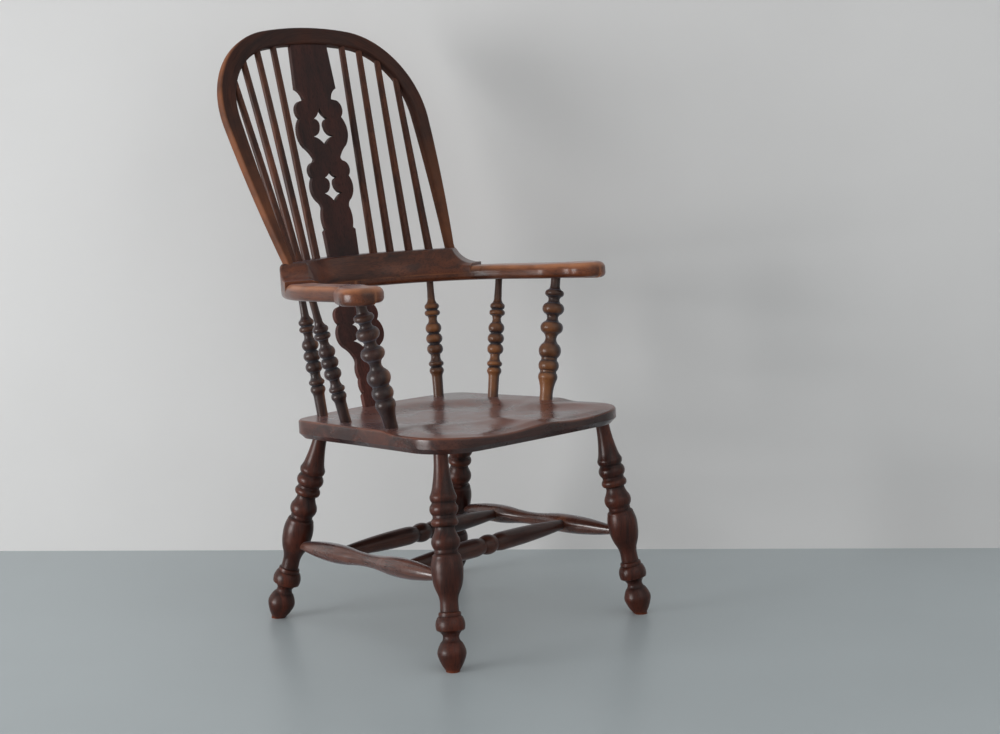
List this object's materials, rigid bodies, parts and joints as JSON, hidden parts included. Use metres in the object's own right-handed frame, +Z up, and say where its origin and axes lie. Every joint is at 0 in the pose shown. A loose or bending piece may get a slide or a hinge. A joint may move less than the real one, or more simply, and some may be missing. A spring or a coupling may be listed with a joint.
{
  "type": "windsor armchair",
  "caption": "High-back Windsor armchair with a bent hoop, pierced two-part splat, tapering sticks, broad bowed arms, a saddled seat and turned legs joined by an H of stretchers.",
  "frame": {"origin": "on the floor, under the centre of the chair's bounding box", "axes": "+Z up, the sitter faces -Y, +X towards the sitter's left hand"},
  "size_m": [0.676, 0.706, 1.1492],
  "materials": {
    "seat_wood": "dark stain under gloss polish, worn bright on the saddle",
    "turned_wood": "dark stain under gloss polish",
    "sawn_wood": "dark stain under gloss polish, worn on the hands",
    "bent_wood": "reddish stain under gloss polish",
    "fretted_wood": "dark stain under gloss polish",
    "dowel_wood": "bare wood, glued and hidden"
  },
  "bodies": {
    "root": {"seat": "seat_wood", "left_front_leg": "turned_wood", "left_back_leg": "turned_wood", "right_front_leg": "turned_wood", "right_back_leg": "turned_wood", "left_side_stretcher": "turned_wood", "right_side_stretcher": "turned_wood", "front_cross_stretcher": "turned_wood", "back_cross_stretcher": "turned_wood", "left_front_support": "turned_wood", "left_middle_support": "turned_wood", "left_back_support": "turned_wood", "right_front_support": "turned_wood", "right_middle_support": "turned_wood", "right_back_support": "turned_wood", "left_arm": "sawn_wood", "right_arm": "sawn_wood", "left_hand_wing": "sawn_wood", "right_hand_wing": "sawn_wood", "crest_rail": "sawn_wood", "crest_dowels": "dowel_wood", "hoop": "bent_wood", "left_stick_1": "bent_wood", "left_stick_2": "bent_wood", "left_stick_3": "bent_wood", "left_stick_4": "bent_wood", "right_stick_1": "bent_wood", "right_stick_2": "bent_wood", "right_stick_3": "bent_wood", "right_stick_4": "bent_wood", "upper_splat": "fretted_wood", "lower_splat": "fretted_wood"}
  },
  "joints": []
}
